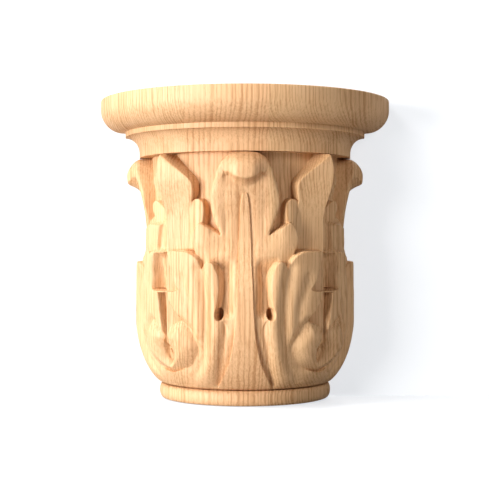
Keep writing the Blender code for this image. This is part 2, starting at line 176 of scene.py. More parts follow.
OUTER_FLANK = (
    [(45, 99.7), (43, 98.3), (39.2, 96), (34.6, 93.3), (30.6, 90.6), (29.2, 88), (29.6, 85),
     (31.2, 82.3), (34, 79.5)],
    [(34, 79.5), (38, 73), (41.5, 67), (45, 61)],
)
SIDE_LOBE = (
    [(31, 78.7), (29.4, 79.9), (27.6, 80.6), (25.3, 80.5), (23, 79.2), (22.2, 76.5),
     (22.5, 72.4), (23.4, 68.8)],
    [(24, 66), (30, 64), (34, 71), (33, 77)],
)
OUTER_SIDE_LOBE = (
    [(34, 79), (31, 80.3), (28.8, 80.4), (27.2, 79.2), (27, 76.5), (28.4, 74), (31.5, 70)],
    [(33, 68), (38, 72), (38, 76)],
)
UPPER_LOBES = (
    [(22.4, 51.7), (24.3, 55.6), (28.9, 58.1), (34.6, 58.8), (42.6, 58.7)],
    [(42.6, 58.7), (41.2, 53.8), (39.7, 49.3), (38.2, 45.6), (35.4, 42.8)],
    [(35.6, 42.5), (38.4, 42.0), (42.3, 41.9), (50, 41.9)],
    [(50, 41.1), (42.9, 41.0), (41.5, 38.1), (38.8, 35), (36.3, 32.3), (34, 30.1)],
    [(37, 27.5), (40, 20), (50, 14)],
    [(50, 2), (17, 2)],
    [(16, 30), (16, 44), (21, 50)],
)
OUTER_LOBES = (
    [(22.4, 51.7), (24.3, 55.6), (28.9, 58.1), (34.6, 58.8), (50, 58.8)],
    [(50, 57.3), (37.4, 57.3)],
    [(37.4, 57.3), (36.5, 52), (36, 47), (35.5, 42.8)],
    [(35.6, 42.5), (38.4, 42.0), (42.3, 41.9), (50, 41.9)],
    [(50, 41.1), (40.6, 41.0)],
    [(40.6, 41.0), (41.2, 38), (42, 34), (43, 30)],
    [(44, 26), (46, 20), (50, 14)],
    [(50, 2), (17, 2)],
    [(16, 30), (16, 44), (21, 50)],
)
BALL_LOBE = (
    [(45, 7.4), (43.4, 7.5), (41.5, 7.8), (37.5, 8.7), (33, 9.9), (29.6, 11.8), (26.9, 14.7),
     (25.3, 18), (26.1, 21.6), (28.9, 25.4), (31.5, 27.9), (34.2, 29.3), (37.3, 29), (41.2, 27.4),
     (43.6, 25.1), (44.7, 22.4), (44.2, 20.5), (42.8, 18.5), (42.2, 16.2), (42.8, 13.7),
     (45, 11.6)],
)
PIT = ([(45, 19.9), (42.9, 18.1), (42.1, 15.7), (42.8, 13.3), (45, 11.4)],)
FINGER = (
    [(14.2, 51.4), (15.4, 53.4), (17, 54.3), (18.6, 54.2), (20.6, 53.2), (22.2, 51.4)],
    [(22.2, 51.4), (20.8, 45.7), (19.9, 39.5), (19.4, 32.5), (20.1, 23.6), (21.5, 16.8), (25, 10.7),
     (33, 3.9)],
    [(33, -4), (17, -4)],
    [(13.4, 10.1), (11, 17.9), (9.6, 26.3), (10.4, 29.6)],
    [(14, 31.6), (13.6, 34.5), (12.7, 38.5), (12, 42), (12, 46), (12.6, 48.9), (14.2, 51.4)],
)
EYE = (
    [(12.8, 35.2), (11.7, 34), (11.2, 32.2), (11.8, 30.8), (13.1, 30.3), (14.2, 31.2),
     (14.4, 33), (13.8, 34.8)],
)
MIDRIB = (
    [(0, 82.6), (0.9, 82.4), (1.5, 81.2), (1.9, 78.7), (2.4, 75.1), (3.2, 63.3), (3.3, 54.6),
     (3.9, 39.2), (4.4, 30.5), (5.1, 23.9), (6.6, 17.2), (8.8, 11.2), (13.4, 4.8), (18.6, -0.4)],
    [(18.6, -5), (0, -5)],
)
OUTER_VALLEY = [(22.9, 51.6), (21.1, 45.7), (20, 39.5), (19.4, 32.5), (20.1, 23.6), (21.5, 16.9),
                (25, 10.7), (33, 4.7)]
INNER_VALLEY = [(7.4, 37.5), (8.1, 33), (8.9, 27.5), (10.6, 20), (13, 10.1), (17, 4.7)]
LOBE_GROOVE = [(33.5, 47.3), (31, 41.3), (28.4, 35.7), (27.6, 30.5), (27.5, 26.7)]

# The finger's crest: heights, and its middle and half width in degrees at each of them
FINGER_HEIGHTS = (0.0, 0.11, 0.25, 0.54)
FINGER_MIDDLES = (24.0, 19.0, 14.8, 17.0)
FINGER_HALVES = (9.0, 6.4, 5.4, 5.2)

# Heights as shares of the carved height. A pair is a band that a form eases in through: its start
# and its run, which is below zero for a form that eases in downwards.
BELLY_HEIGHT = 0.30
BELL_SPREAD = (0.6, 0.4)
WAIST = (0.40, 0.26)
HEAD_LEAN = (0.70, 0.20)
KEEL_LEAN = (0.71, 0.20)
TIP = (0.93, 0.07)
FLANK_TOP = (0.72, 0.14)
FLANK_FOOT = (0.60, -0.03)
OUTER_WALL_TOP = (0.80, -0.05)
RECESS_TOP = (0.78, -0.08)
SCOOP_FOOT = 0.414
SCOOP_UP = (0.40, 0.17)
SCOOP_TOP = (0.76, -0.08)
WING_UP = (0.53, 0.11)
WING_WALL_FOOT = 0.56
HOOD_TOP = (0.92, 0.08)
HOOD_UNDER = (0.92, -0.05)
CHEEK_UP = (0.66, 0.27)
MOUTH_LOW = (0.90, -0.05)
HEAD_UP = (0.63, 0.05)
RAMP_FOOT = 0.43
HOLLOW_UP = (0.30, 0.05)
HOLLOW_TOP = (0.57, -0.07)
FINGER_ROLL_UP = (0.3, 0.1)
FINGER_LOW = (0.31, -0.07)
FINGER_HIGH = (0.31, 0.04)
FOOT_UP = (0.02, 0.10)
VALLEY_TOP = (0.40, -0.1)
BALL_GROUND_UP = (0.085, 0.05)
MIDRIB_UP = (0.0, 0.03)
MIDRIB_TOP = (0.86, -0.06)
MIDRIB_LOW = (0.34, -0.2)
FOOT_MERGE = (0.04, -0.04)
HAND_FADE = 0.03

# Bands and places in degrees from the midrib, with a run below zero for a band that eases in
# towards the midrib. The flank's reach is given for the outer and the inner side.
FLANK_REACH = (11.0, 16.0)
LOBE_MIDDLE = 25.0
WING_ACROSS = (9.0, 15.0)
WING_WALL_FROM = 21.0
CHEEK_ACROSS = (2.5, 9.5)
HEAD_ACROSS = (20.0, -4.0)
RAMP_FROM = 33.0
HOLLOW_NEAR = (4.6, 4.8)
HOLLOW_FAR = (19.0, -3.0)
FINGER_ROLL_FAR = (20.5, -3.0)
FINGER_EDGE = (15.5, -2.5)
BALL_ASIDE = (41.0, -8.0)

# Small lengths of the carving: falls and rises of a form, widths of grooves, runs of soft walls.
# The lobe's fall is for each square of a degree from its middle.
TIP_FALL = 0.0025
INNER_FALL = 0.0030
OUTER_WALL = 0.0060
LOBE_FALL = 0.00002
HOOD_TOP_FALL = 0.0062
HOOD_UNDER_FALL = 0.0010
CHEEK_RISE = 0.0010
CHEEK_SWELL = 0.0058
CHEEK_TOP_FALL = 0.0023
HEAD_ROLL = 0.0022
MOUTH_SLOPE = 0.0022
MOUTH_LOW_SLOPE = 0.0027
WING_WALL = 0.0018
RAMP_WALL = 0.0034
GROOVE_WIDTH, GROOVE_DEPTH = 0.0026, 0.0009
FINGER_RISE = 0.0008
FINGER_FALLS = (0.0018, 0.0010)
FINGER_LOW_WALL = 0.0024
FINGER_EDGE_WALL = 0.0012
OUTER_VALLEY_WIDTH = 0.0030
INNER_VALLEY_WIDTH = 0.0024
CREASE_WIDTH, CREASE_DEPTH = 0.0022, 0.0020
BALL_RISE, BALL_FALL, BALL_REACH = 0.0014, 0.0038, 0.0080
BALL_WALL = 0.0014
BALL_GROUND, BALL_GROUND_FALL = 0.0016, 0.0100
PIT_INSET, PIT_WALL = 0.0003, 0.0016
MIDRIB_REACH = 0.0028

# Shares and powers of the carving: fullness of a swell, and parts of another length
BOWL_POWER = 0.66
FLANK_POWER = 1.6
CHEEK_POWER = 1.5
SCOOP_BELOW = 1.1
MOUTH_OVERHANG = 0.3
FINGER_ROLL = 0.8
EYE_WALL = 2.0
INNER_VALLEY_SHARE = 0.8
MIDRIB_MORE = 1.2

# Mouldings: the share of the cove that stands upright at its foot, the drop from the ovolo's foot
# to the fillet's edge, and the facets of each round
COVE_FOOT = 0.2
FILLET_STEP = 0.0003
EDGE_FACETS, OVOLO_FACETS, COVE_FACETS, BEAD_FACETS = 3, 16, 11, 12


def length(name, description, default):
    """A length that the sidebar shows."""
    return FloatProperty(name=name, description=description, default=default, min=0.0,
                         precision=5, unit="LENGTH")


def strength(name, description, default, unit="NONE"):
    """A lamp's power or another strength that the sidebar shows."""
    return FloatProperty(name=name, description=description, default=default, min=0.0, unit=unit)


def colour(name, description, default):
    """A colour that the sidebar shows."""
    return FloatVectorProperty(name=name, description=description, default=default, size=3,
                               min=0.0, max=1.0, subtype="COLOR")


class CapitalMouldings(bpy.types.PropertyGroup):
    """Sizes of the turned abacus and bead"""

    height: length("Height", "From the underside of the bead to the top of the abacus",
                   HIGHEST.z - LOWEST.z)
    abacus_radius: length("Abacus radius", "Outside of the abacus", (HIGHEST.x - LOWEST.x) / 2.0)
    rim_height: length("Rim height", "Upright rim of the abacus", 0.0053)
    ovolo_height: length("Ovolo height", "Quarter round under the rim", 0.0108)
    fillet_height: length("Fillet height", "Flat band under the ovolo", 0.0027)
    cove_height: length("Cove height", "Hollow under the fillet", 0.0106)
    bead_height: length("Bead height", "Half-round bead at the foot", 0.0075)
    fillet_radius: length("Fillet radius", "Outside of the flat band", 0.0623)
    cove_foot_radius: length("Cove foot radius", "Foot of the hollow", 0.0550)
    bead_radius: length("Bead radius", "Outside of the bead", 0.0445)
    bead_inset: length("Bead inset", "How far the bead's round falls back", 0.0018)
    edge_round: length("Edge round", "Sanded round of the top edge", 0.0008)
    quirk: length("Quirk", "Small step between ovolo and fillet", 0.0010)


class CapitalCarving(bpy.types.PropertyGroup):
    """Sizes of the carved bell"""

    bell_radius: length("Bell radius", "Plain bell behind the leaves", 0.0468)
    bell_lip_radius: length("Bell lip radius", "Bell under the abacus", 0.0484)
    neck_radius: length("Neck radius", "Foot of the leaves", 0.0425)
    belly_radius: length("Belly radius", "Widest part of the leaves", 0.0569)
    waist_radius: length("Waist radius", "Broad leaf between belly and head", 0.0509)
    head_hollow_radius: length("Head hollow radius", "Hollow inside the rolled head", 0.0553)
    hood_radius: length("Hood radius", "Front of the rolled head", 0.0616)
    keel_radius: length("Keel radius", "Keel of the pointed leaf", 0.0543)
    keel_top_radius: length("Keel top radius", "Keel where the leaf leans out", 0.0610)
    wall: length("Wall", "Run of an upright cut", 0.0005)
    eye_depth: length("Eye depth", "Deep hole between finger and midrib", 0.0080)
    pit_depth: length("Pit depth", "Drop-shaped pit between two ball lobes", 0.0038)
    hollow_depth: length("Hollow depth", "Hollow beside the finger", 0.0042)
    valley_depth: length("Valley depth", "Grooves along the finger", 0.0017)
    midrib_rise: length("Midrib rise", "Midrib over the trough beside it", 0.0009)
    wing_rise: length("Wing rise", "Broad leaf's wing over its midrib", 0.0033)
    recess_rise: length("Recess rise", "Floor of the recesses between two leaves over the bell",
                        0.0026)
    lobe_rise: length("Lobe rise", "Pointed leaf's side lobe over the bell", 0.0056)
    flank_fall: length("Flank fall", "Pointed leaf's edge behind its keel", 0.0032)
    flank_top_fall: length("Flank top fall", "Further fall at the top", 0.0020)
    outer_fall: length("Outer fall", "Further fall of the flank that faces the side", 0.0026)
    edge_roll: length("Edge roll", "Rounded edge of a leaf", 0.0010)
    quirk_height: length("Quirk height", "Height of the undercut at the leaves' foot", 0.0016)
    quirk_depth: length("Quirk depth", "How far the leaves' foot is cut under", 0.0034)
    wander: length("Wander", "How far the carver's hand strays", 0.00016)
    triangles: IntProperty(name="Triangles", description="Triangles kept on the carved quarter",
                           default=76000, min=2000)


class CapitalOak(bpy.types.PropertyGroup):
    """Colours and figure of the oak"""

    late_wood: colour("Late wood", "Light dense part of a growth ring", (0.73, 0.475, 0.272))
    early_wood: colour("Early wood", "Darker porous part of a growth ring", (0.52, 0.287, 0.138))
    pore: colour("Pore", "Open pores in the early wood", (0.33, 0.155, 0.062))
    fibre_width: length("Fibre width", "Width of the fine streaks", 0.0007)
    pore_length: length("Pore length", "Length of an open pore", 0.0030)
    roughness: FloatProperty(name="Roughness", description="Sanded and left without varnish",
                             default=0.56, min=0.0, max=1.0, subtype="FACTOR")


class CapitalStudio(bpy.types.PropertyGroup):
    """Light and backdrop"""

    key: strength("Key light", "Power of the level lamp at the left", 15.8, "POWER")
    upper: strength("Upper light", "Power of the high lamp at the left", 11.0, "POWER")
    fill: strength("Fill light", "Power of the weak lamp at the right", 3.7, "POWER")
    back: strength("Back light", "Power of the lamp behind, on the sawn back", 5.0, "POWER")
    sky: strength("Sky", "Strength of the light from all around", 0.02)
    horizon: strength("Horizon", "Brightness of what shows past the stage", 0.93)
    glow: strength("Glow", "Own light of the backdrop", 0.57)
    paper: colour("Paper", "Floor and backdrop", (0.37, 0.37, 0.37))


def portion(value, band, most=1.0):
    """How far a value is through a band, which is given as its start and its run."""
    return np.clip((value - band[0]) / band[1], 0.0, most)


def ease(share):
    """Smooth step from 0 to 1."""
    share = np.clip(share, 0.0, 1.0)
    return share * share * (3.0 - 2.0 * share)


def smooth_run(points, steps=8):
    """A Catmull-Rom curve through the points of one run."""
    knots = np.array([points[0], *points, points[-1]], dtype=float)
    if len(points) < 3:
        return knots[1:-1]
    share = np.linspace(0.0, 1.0, steps, endpoint=False)[:, None]
    spans = []
    for before, start, end, after in zip(knots[:-3], knots[1:-2], knots[2:-1], knots[3:]):
        spans.append(0.5 * (2.0 * start + (end - before) * share
                            + (2.0 * before - 5.0 * start + 4.0 * end - after) * share ** 2
                            + (3.0 * start - 3.0 * end + after - before) * share ** 3))
    return np.vstack([*spans, knots[-1:]])


def rolled(depth_inside, radius):
    """How far a rounded edge drops, at a distance inside it."""
    share = 1.0 - np.clip(depth_inside / radius, 0.0, 1.0)
    return radius * (1.0 - np.sqrt(1.0 - share * share))


def trough(gap, width):
    """A smooth trough, 1 at its line and fading over its width."""
    return np.exp(-(gap / width) ** 2)


class Relief:
    """The carving over the quarter, as a radius at each angle and share of the carved height."""

    def __init__(self, sizes, carved_height, angle, height):
        self.sizes = sizes
        self.carved_height = carved_height
        self.angle = KEEL - np.abs(KEEL - angle)
        self.outer = angle > KEEL
        self.height = height
        self.across, self.up = self.flattened(self.angle, height)

    def flattened(self, angle, height):
        """Degrees and shares of the height as metres along the belly and upwards."""
        return np.radians(angle) * self.sizes.belly_radius, height * self.carved_height

    def drawn(self, runs):
        """An outline's runs as one row of points in metres along the belly and upwards."""
        points = np.vstack([smooth_run(run) for run in runs])
        return np.column_stack(self.flattened(points[:, 0], points[:, 1] / 100.0))

    def mirrored(self, runs, angle):
        """A half outline made whole about a line at the angle."""
        points = self.drawn(runs)
        other = points[::-1].copy()
        other[:, 0] = 2.0 * math.radians(angle) * self.sizes.belly_radius - other[:, 0]
        return np.vstack([points, other])

    def distance(self, points):
        """Distance to a row of points joined by straight lines."""
        nearest = np.full(self.across.shape, np.inf)
        for start, end in zip(points[:-1], points[1:]):
            run, rise = end - start
            square = run * run + rise * rise
            if square == 0.0:
                continue
            right, over = self.across - start[0], self.up - start[1]
            share = np.clip((right * run + over * rise) / square, 0.0, 1.0)
            nearest = np.minimum(nearest, np.hypot(right - share * run, over - share * rise))
        return nearest

    def inset(self, outline):
        """Distance inside a closed outline, below zero outside it."""
        closed = np.vstack([outline, outline[:1]])
        inside = np.zeros(self.across.shape, dtype=bool)
        for start, end in zip(closed[:-1], closed[1:]):
            if start[1] == end[1]:
                continue
            slope = (end[0] - start[0]) / (end[1] - start[1])
            crossing = start[0] + (self.up - start[1]) * slope
            between = (start[1] > self.up) != (end[1] > self.up)
            inside ^= between & (self.across < crossing)
        gap = self.distance(closed)
        return np.where(inside, gap, -gap)

    def sided(self, inner, outer):
        """Distance inside one outline before the keel, and inside another beyond it."""
        return np.where(self.outer, self.inset(outer), self.inset(inner))

    def lay(self, ground, top, depth_inside, wall=None, shape=ease):
        """Lay a form over the ground, where the distance inside its outline is above zero."""
        wall = self.sizes.wall if wall is None else wall
        return ground + (top - ground) * shape(np.clip(depth_inside / wall + 0.5, 0.0, 1.0))

    def at_height(self, band):
        """Smooth step from 0 to 1 through a band of heights."""
        return ease(portion(self.height, band))

    def at_angle(self, band):
        """Smooth step from 0 to 1 through a band of angles."""
        return ease(portion(self.angle, band))

    def bowl(self):
        """The leaves' foot, swelling from the neck to the belly."""
        rise = np.clip(self.height / BELLY_HEIGHT, 0.0, 1.0)
        swell = self.sizes.belly_radius - self.sizes.neck_radius
        return self.sizes.neck_radius + swell * (1.0 - (1.0 - rise) ** 2) ** BOWL_POWER

    def front(self):
        """Front of the broad leaf along its midrib: belly, waist and the hollow of its head."""
        sizes = self.sizes
        fall = (sizes.belly_radius - sizes.waist_radius) * self.at_height(WAIST)
        lean = (sizes.head_hollow_radius - sizes.waist_radius) * self.at_height(HEAD_LEAN)
        return self.bowl() - fall + lean

    def bell(self):
        """The plain bell behind the leaves."""
        sizes = self.sizes
        spread = (sizes.bell_lip_radius - sizes.bell_radius) * self.at_height(BELL_SPREAD)
        return np.minimum(sizes.bell_radius + spread, self.bowl())

    def pointed_leaf(self, ground):
        """The leaf with a keel and two sloping flanks, and the small lobe at its side."""
        sizes, angle, height = self.sizes, self.angle, self.height
        lean = (sizes.keel_top_radius - sizes.keel_radius) * self.at_height(KEEL_LEAN)
        keel = sizes.keel_radius + lean - TIP_FALL * portion(height, TIP) ** 2
        keel = np.where(height < BELLY_HEIGHT, np.minimum(keel, self.bowl()), keel)
        reach = np.where(self.outer, *FLANK_REACH)
        flat = np.clip(1.0 - (KEEL - angle) / reach, 0.0, None) ** FLANK_POWER
        fall = (sizes.flank_fall + sizes.flank_top_fall * self.at_height(FLANK_TOP)
                + np.where(self.outer, sizes.outer_fall, INNER_FALL * self.at_height(FLANK_FOOT)))
        depth_inside = self.sided(self.mirrored(POINTED_LEAF, KEEL),
                                  self.mirrored(OUTER_FLANK, KEEL))
        leaf = keel - fall * (1.0 - flat) - rolled(depth_inside, sizes.edge_roll)
        wall = sizes.wall + OUTER_WALL * self.outer * self.at_height(OUTER_WALL_TOP)
        ground = self.lay(ground, leaf, depth_inside, wall)
        floor = sizes.bell_radius + sizes.recess_rise * self.at_height(RECESS_TOP)
        scoop = np.where(height > SCOOP_FOOT, self.at_height(SCOOP_UP), SCOOP_BELOW)
        scoop = sizes.recess_rise * scoop * self.at_height(SCOOP_TOP)
        floor = np.minimum(floor + scoop, self.bowl())
        ground = np.where(self.outer, np.maximum(ground, floor), ground)
        depth_inside = self.sided(self.drawn(SIDE_LOBE), self.drawn(OUTER_SIDE_LOBE))
        lobe = sizes.bell_radius + sizes.lobe_rise - LOBE_FALL * (angle - LOBE_MIDDLE) ** 2
        lobe = lobe - rolled(depth_inside, sizes.edge_roll)
        return np.maximum(ground, self.lay(ground, lobe, depth_inside))

    def broad_leaf(self, ground):
        """The broad leaf: its body and wing, and the head with a hood rolled over its mouth."""
        sizes, angle, height = self.sizes, self.angle, self.height
        depth_inside = self.sided(self.mirrored(BROAD_LEAF, 0.0), self.mirrored(SIDE_LEAF, 0.0))
        front = self.front()
        wing = sizes.wing_rise * self.at_angle(WING_ACROSS) * self.at_height(WING_UP)
        hood = (sizes.hood_radius - HOOD_TOP_FALL * portion(height, HOOD_TOP) ** 2
                - HOOD_UNDER_FALL * portion(height, HOOD_UNDER, None) ** 2)
        swell = portion(height, CHEEK_UP) ** CHEEK_POWER
        cheek = (sizes.waist_radius + CHEEK_RISE + CHEEK_SWELL * swell
                 - CHEEK_TOP_FALL * portion(height, TIP) ** 2)
        aside = self.at_angle(CHEEK_ACROSS)
        head = hood * (1.0 - aside) + cheek * aside - rolled(depth_inside, HEAD_ROLL)
        mouth = self.inset(self.mirrored(MOUTH, 0.0))
        slope = MOUTH_SLOPE + MOUTH_LOW_SLOPE * self.at_height(MOUTH_LOW)
        head = self.lay(head, front, mouth - MOUTH_OVERHANG * slope, slope)
        leaf = front + wing - rolled(depth_inside, sizes.edge_roll)
        leaf = leaf + (head - leaf) * self.at_height(HEAD_UP) * self.at_angle(HEAD_ACROSS)
        beside_recess = self.outer & (angle > WING_WALL_FROM) & (height > WING_WALL_FOOT)
        return self.lay(ground, leaf, depth_inside, sizes.wall + WING_WALL * beside_recess)

    def lobes(self, ground):
        """The two upper lobes, the finger with the hollow and the eye beside it, the ball lobe."""
        sizes, angle, height = self.sizes, self.angle, self.height
        belly = np.minimum(sizes.belly_radius, self.bowl())
        depth_inside = self.sided(self.drawn(UPPER_LOBES), self.drawn(OUTER_LOBES))
        groove = trough(self.distance(self.drawn([LOBE_GROOVE])), GROOVE_WIDTH)
        top = belly - GROOVE_DEPTH * groove - rolled(depth_inside, sizes.edge_roll)
        beside_recess = self.outer & (angle > RAMP_FROM) & (height > RAMP_FOOT)
        ground = self.lay(ground, top, depth_inside, sizes.wall + RAMP_WALL * beside_recess)
        slant = self.at_angle(HOLLOW_NEAR) * self.at_height(HOLLOW_UP)
        slant = slant * self.at_height(HOLLOW_TOP) * self.at_angle(HOLLOW_FAR)
        ground = ground - sizes.hollow_depth * slant
        depth_inside = self.inset(self.drawn(FINGER))
        middle = np.interp(height, FINGER_HEIGHTS, FINGER_MIDDLES)
        half = np.interp(height, FINGER_HEIGHTS, FINGER_HALVES)
        fall = np.where(angle < middle, *FINGER_FALLS)
        finger = belly + FINGER_RISE - fall * np.clip((angle - middle) / half, -1.0, 1.0) ** 2
        roll = self.at_height(FINGER_ROLL_UP) * self.at_angle(FINGER_ROLL_FAR)
        finger = finger - rolled(depth_inside, FINGER_ROLL * sizes.edge_roll) * roll
        soft = np.maximum(
            FINGER_LOW_WALL * self.at_height(FINGER_LOW),
            FINGER_EDGE_WALL * self.at_angle(FINGER_EDGE) * self.at_height(FINGER_HIGH))
        ground = self.lay(ground, finger, depth_inside, sizes.wall + soft, np.positive)
        ground = self.lay(ground, belly - sizes.eye_depth, self.inset(self.drawn(EYE)),
                          EYE_WALL * sizes.wall)
        runs_out = self.at_height(FOOT_UP)
        valley = trough(self.distance(self.drawn([OUTER_VALLEY])), OUTER_VALLEY_WIDTH)
        ground = ground - sizes.valley_depth * runs_out * valley
        valley = trough(self.distance(self.drawn([INNER_VALLEY])), INNER_VALLEY_WIDTH)
        ground = ground - (INNER_VALLEY_SHARE * sizes.valley_depth * runs_out
                           * self.at_height(VALLEY_TOP) * valley)
        depth_inside = self.inset(self.mirrored(BALL_LOBE, KEEL))
        aside = self.at_angle(BALL_ASIDE)
        crease = trough(depth_inside, CREASE_WIDTH) * aside * runs_out
        fall = np.clip(1.0 - depth_inside / BALL_REACH, 0.0, 1.0) ** 2
        ball = belly + BALL_RISE - BALL_FALL * fall
        foot = belly - BALL_GROUND - BALL_GROUND_FALL * self.at_height(BALL_GROUND_UP)
        ground = np.maximum(ground, foot) - CREASE_DEPTH * crease
        ground = self.lay(ground, ball, depth_inside, sizes.wall + BALL_WALL * aside)
        pit = self.inset(self.mirrored(PIT, KEEL))
        return self.lay(ground, belly - sizes.pit_depth, pit - PIT_INSET, PIT_WALL)

    def midrib(self, ground):
        """The raised midrib, spreading towards the neck, with a soft trough along its side."""
        depth_inside = self.inset(self.mirrored(MIDRIB, 0.0))
        runs_out = self.at_height(MIDRIB_UP) * self.at_height(MIDRIB_TOP)
        runs_out = runs_out * (1.0 + MIDRIB_MORE * self.at_height(MIDRIB_LOW))
        beside = trough(np.minimum(depth_inside, 0.0), MIDRIB_REACH) * (depth_inside < 0.0)
        ground = ground - self.sizes.midrib_rise * runs_out * beside
        return self.lay(ground, self.front(), depth_inside)

    def radius(self):
        """Radius of the finished carving."""
        radius = self.bell()
        for carve_form in (self.pointed_leaf, self.broad_leaf, self.lobes, self.midrib):
            radius = carve_form(radius)
        merged = self.at_height(FOOT_MERGE)
        radius = radius * (1.0 - merged) + self.bowl() * merged
        under = 1.0 - self.height * self.carved_height / self.sizes.quirk_height
        return radius - self.sizes.quirk_depth * rolled(1.0 - under, 1.0)


def arc(middle, radii, start, end, steps):
    """Points on a part of an ellipse in the turning plane, angles in degrees."""
    turns = np.radians(np.linspace(start, end, steps + 1))
    return [(middle[0] + radii[0] * math.cos(turn), middle[1] + radii[1] * math.sin(turn))
            for turn in turns]


def abacus_profile(sizes):
    """From the middle of the top down the outer side to the foot of the cove."""
    top = LOWEST.z + sizes.height
    rim = top - sizes.rim_height
    fillet_top = rim - sizes.ovolo_height
    fillet_foot = fillet_top - sizes.fillet_height
    foot = fillet_foot - sizes.cove_height
    quirk_radius = sizes.fillet_radius + sizes.quirk
    points = [(0.0, top)]
    points += arc((sizes.abacus_radius - sizes.edge_round, top - sizes.edge_round),
                  (sizes.edge_round, sizes.edge_round), 90, 0, EDGE_FACETS)
    points += arc((quirk_radius, rim), (sizes.abacus_radius - quirk_radius, sizes.ovolo_height),
                  0, -90, OVOLO_FACETS)
    points += [(sizes.fillet_radius, fillet_top - FILLET_STEP), (sizes.fillet_radius, fillet_foot)]
    points += arc((sizes.fillet_radius, foot + COVE_FOOT * sizes.cove_height),
                  (sizes.fillet_radius - sizes.cove_foot_radius,
                   (1.0 - COVE_FOOT) * sizes.cove_height), 95, 180, COVE_FACETS)
    points.append((sizes.cove_foot_radius, foot))
    return points


def bead_profile(sizes):
    """From the bead's upper edge round to the middle of the underside."""
    middle = LOWEST.z + sizes.bead_height / 2.0
    points = arc((sizes.bead_radius - sizes.bead_inset, middle),
                 (sizes.bead_inset, sizes.bead_height / 2.0), 90, -90, BEAD_FACETS)
    return points + [(0.0, LOWEST.z)]


def bell_profile(mouldings, carving):
    """An upright line between the cove's foot and the bead, with a point for each carved row."""
    foot = LOWEST.z + mouldings.bead_height
    top = abacus_profile(mouldings)[-1][1]
    rows = math.ceil((top - foot) / ROW_PITCH)
    return [(carving.bell_radius, top - (top - foot) * row / rows) for row in range(rows + 1)]


def plug(tree, node, inputs):
    """Fill a node's inputs. Each takes a value, or the socket that it is joined to."""
    for name, value in inputs.items():
        if isinstance(value, bpy.types.NodeSocket):
            tree.links.new(value, node.inputs[name])
        else:
            node.inputs[name].default_value = value
    return node


def add(tree, kind, inputs=None, **settings):
    """Add a node with its settings and inputs to a tree."""
    node = tree.nodes.new(kind)
    for name, value in settings.items():
        setattr(node, name, value)
    return plug(tree, node, inputs or {})


def maths(tree, operation, first, second=0.0):
    """A Math node's result."""
    return add(tree, "ShaderNodeMath", {0: first, 1: second}, operation=operation).outputs[0]


def sockets(tree, inputs, outputs):
    """Name the sockets of a tree: name, type and, for an input, its default."""
    for name, kind, default in inputs:
        socket = tree.interface.new_socket(name=name, in_out="INPUT", socket_type=kind)
        if default is not None:
            socket.default_value = default
    for name, kind in outputs:
        tree.interface.new_socket(name=name, in_out="OUTPUT", socket_type=kind)
    return tree.nodes.new("NodeGroupInput").outputs, tree.nodes.new("NodeGroupOutput")


def deliver(tree, geometry, oak, socket):
    """Give a tree's geometry its material and send it out."""
    real = add(tree, "GeometryNodeRealizeInstances", {"Geometry": geometry})
    finished = add(tree, "GeometryNodeSetMaterial", {"Geometry": real.outputs[0], "Material": oak})
    tree.links.new(finished.outputs[0], socket)
    return tree


def turning_tree():
    """Sweeps a profile round the column's axis: a grid whose columns each take its points."""
    tree = bpy.data.node_groups.new("turned work", "GeometryNodeTree")
    given, result = sockets(
        tree,
        [("Profile", "NodeSocketGeometry", None), ("Steps", "NodeSocketInt", 8),
         ("Sweep", "NodeSocketFloat", math.radians(SECTOR)), ("Oak", "NodeSocketMaterial", None)],
        [("Turned", "NodeSocketGeometry")])
    count = add(tree, "GeometryNodeAttributeDomainSize", {"Geometry": given["Profile"]},
                component="MESH").outputs["Point Count"]
    grid = add(tree, "GeometryNodeMeshGrid",
               {"Vertices X": maths(tree, "ADD", given["Steps"], 1.0), "Vertices Y": count})
    index = add(tree, "GeometryNodeInputIndex").outputs[0]
    column = maths(tree, "FLOOR", maths(tree, "DIVIDE", maths(tree, "ADD", index, 0.5), count))
    row = maths(tree, "SUBTRACT", index, maths(tree, "MULTIPLY", column, count))
    point = add(tree, "GeometryNodeSampleIndex",
                {"Geometry": given["Profile"], "Index": row,
                 "Value": add(tree, "GeometryNodeInputPosition").outputs[0]},
                data_type="FLOAT_VECTOR")
    place = add(tree, "ShaderNodeSeparateXYZ", {0: point.outputs[0]}).outputs
    turn = maths(tree, "MULTIPLY", maths(tree, "DIVIDE", column, given["Steps"]), given["Sweep"])
    across = maths(tree, "MULTIPLY", place["X"], maths(tree, "SINE", turn))
    out = maths(tree, "MULTIPLY", place["X"], maths(tree, "COSINE", turn))
    swept = add(tree, "ShaderNodeCombineXYZ",
                {"X": across, "Y": maths(tree, "MULTIPLY", out, -1.0), "Z": place["Z"]})
    moved = add(tree, "GeometryNodeSetPosition",
                {"Geometry": grid.outputs["Mesh"], "Position": swept.outputs[0]})
    merged = add(tree, "GeometryNodeMergeByDistance",
                 {"Geometry": moved.outputs[0], "Distance": MERGE})
    return deliver(tree, merged.outputs[0], given["Oak"], result.inputs["Turned"])


